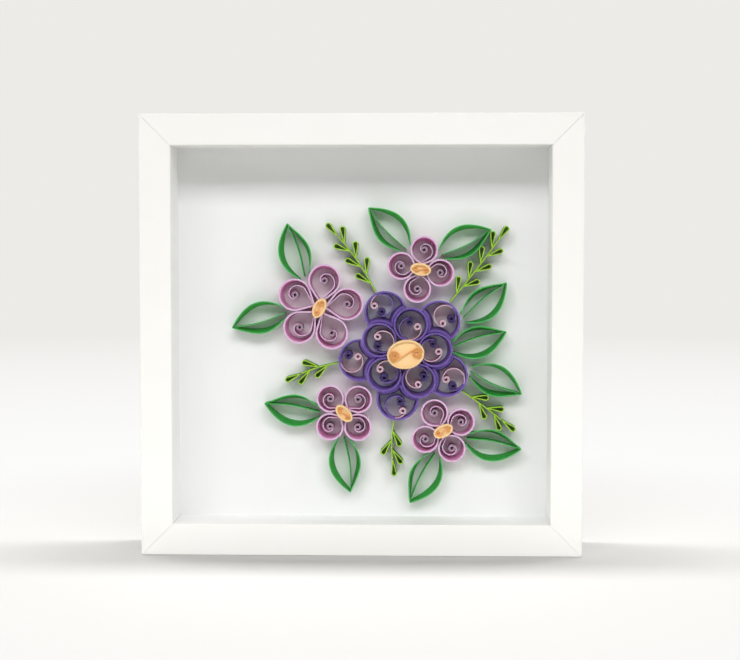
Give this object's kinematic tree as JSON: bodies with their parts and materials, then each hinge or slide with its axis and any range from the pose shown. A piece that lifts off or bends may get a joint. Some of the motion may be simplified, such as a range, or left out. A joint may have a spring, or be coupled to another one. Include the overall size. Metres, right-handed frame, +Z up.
{
  "type": "framed quilled paper art",
  "caption": "Square white box frame that shows a raised spray of quilled paper flowers, leaves and sprigs on a white card behind a clear pane.",
  "frame": {"origin": "middle of the frame's base, on the surface that it stands on", "axes": "+Z up, -Y towards the viewer in front of the pane, +X to the viewer's right"},
  "size_m": [0.25, 0.045, 0.25],
  "materials": {
    "rail_paint": "smooth white satin lacquer",
    "clear_pane": "clear and polished",
    "spacer_board": "smooth white paper faced board",
    "art_card": "matt white card with a fine tooth",
    "hardboard": "pressed brown fibreboard",
    "tab_steel": "zinc plated",
    "hanger_brass": "brassed steel",
    "violet_paper": "matt coloured quilling strip",
    "soft_violet_paper": "matt coloured quilling strip",
    "lilac_paper": "matt coloured quilling strip",
    "peach_paper": "matt coloured quilling strip",
    "leaf_green_paper": "matt coloured quilling strip",
    "lime_paper": "matt coloured quilling strip"
  },
  "bodies": {
    "root": {"art_card": "art_card", "back_board": "hardboard", "bottom_rail": "rail_paint", "front_pane": "clear_pane", "hanger": "hanger_brass", "leaf_1": "leaf_green_paper", "leaf_10": "leaf_green_paper", "leaf_11": "leaf_green_paper", "leaf_2": "leaf_green_paper", "leaf_3": "leaf_green_paper", "leaf_4": "leaf_green_paper", "leaf_5": "leaf_green_paper", "leaf_6": "leaf_green_paper", "leaf_7": "leaf_green_paper", "leaf_8": "leaf_green_paper", "leaf_9": "leaf_green_paper", "left_lilac_centre": "peach_paper", "left_lilac_petal_1": "lilac_paper", "left_lilac_petal_2": "lilac_paper", "left_lilac_petal_3": "lilac_paper", "left_lilac_petal_4": "lilac_paper", "left_lilac_petal_5": "lilac_paper", "left_rail": "rail_paint", "lower_left_lilac_centre": "peach_paper", "lower_left_lilac_petal_1": "lilac_paper", "lower_left_lilac_petal_2": "lilac_paper", "lower_left_lilac_petal_3": "lilac_paper", "lower_left_lilac_petal_4": "lilac_paper", "lower_right_lilac_centre": "peach_paper", "lower_right_lilac_petal_1": "lilac_paper", "lower_right_lilac_petal_2": "lilac_paper", "lower_right_lilac_petal_3": "lilac_paper", "lower_right_lilac_petal_4": "lilac_paper", "retaining_tabs": "tab_steel", "right_rail": "rail_paint", "spacer_strips": "spacer_board", "sprig_1": "lime_paper", "sprig_2": "lime_paper", "sprig_3": "lime_paper", "sprig_4": "lime_paper", "sprig_5": "lime_paper", "top_rail": "rail_paint", "upper_lilac_centre": "peach_paper", "upper_lilac_petal_1": "lilac_paper", "upper_lilac_petal_2": "lilac_paper", "upper_lilac_petal_3": "lilac_paper", "upper_lilac_petal_4": "lilac_paper", "violet_centre": "peach_paper", "violet_inner_petal_1": "violet_paper", "violet_inner_petal_2": "violet_paper", "violet_inner_petal_3": "violet_paper", "violet_inner_petal_4": "violet_paper", "violet_inner_petal_5": "violet_paper", "violet_outer_petal_1": "soft_violet_paper", "violet_outer_petal_2": "soft_violet_paper", "violet_outer_petal_3": "soft_violet_paper", "violet_outer_petal_4": "soft_violet_paper", "violet_outer_petal_5": "soft_violet_paper"}
  },
  "joints": []
}
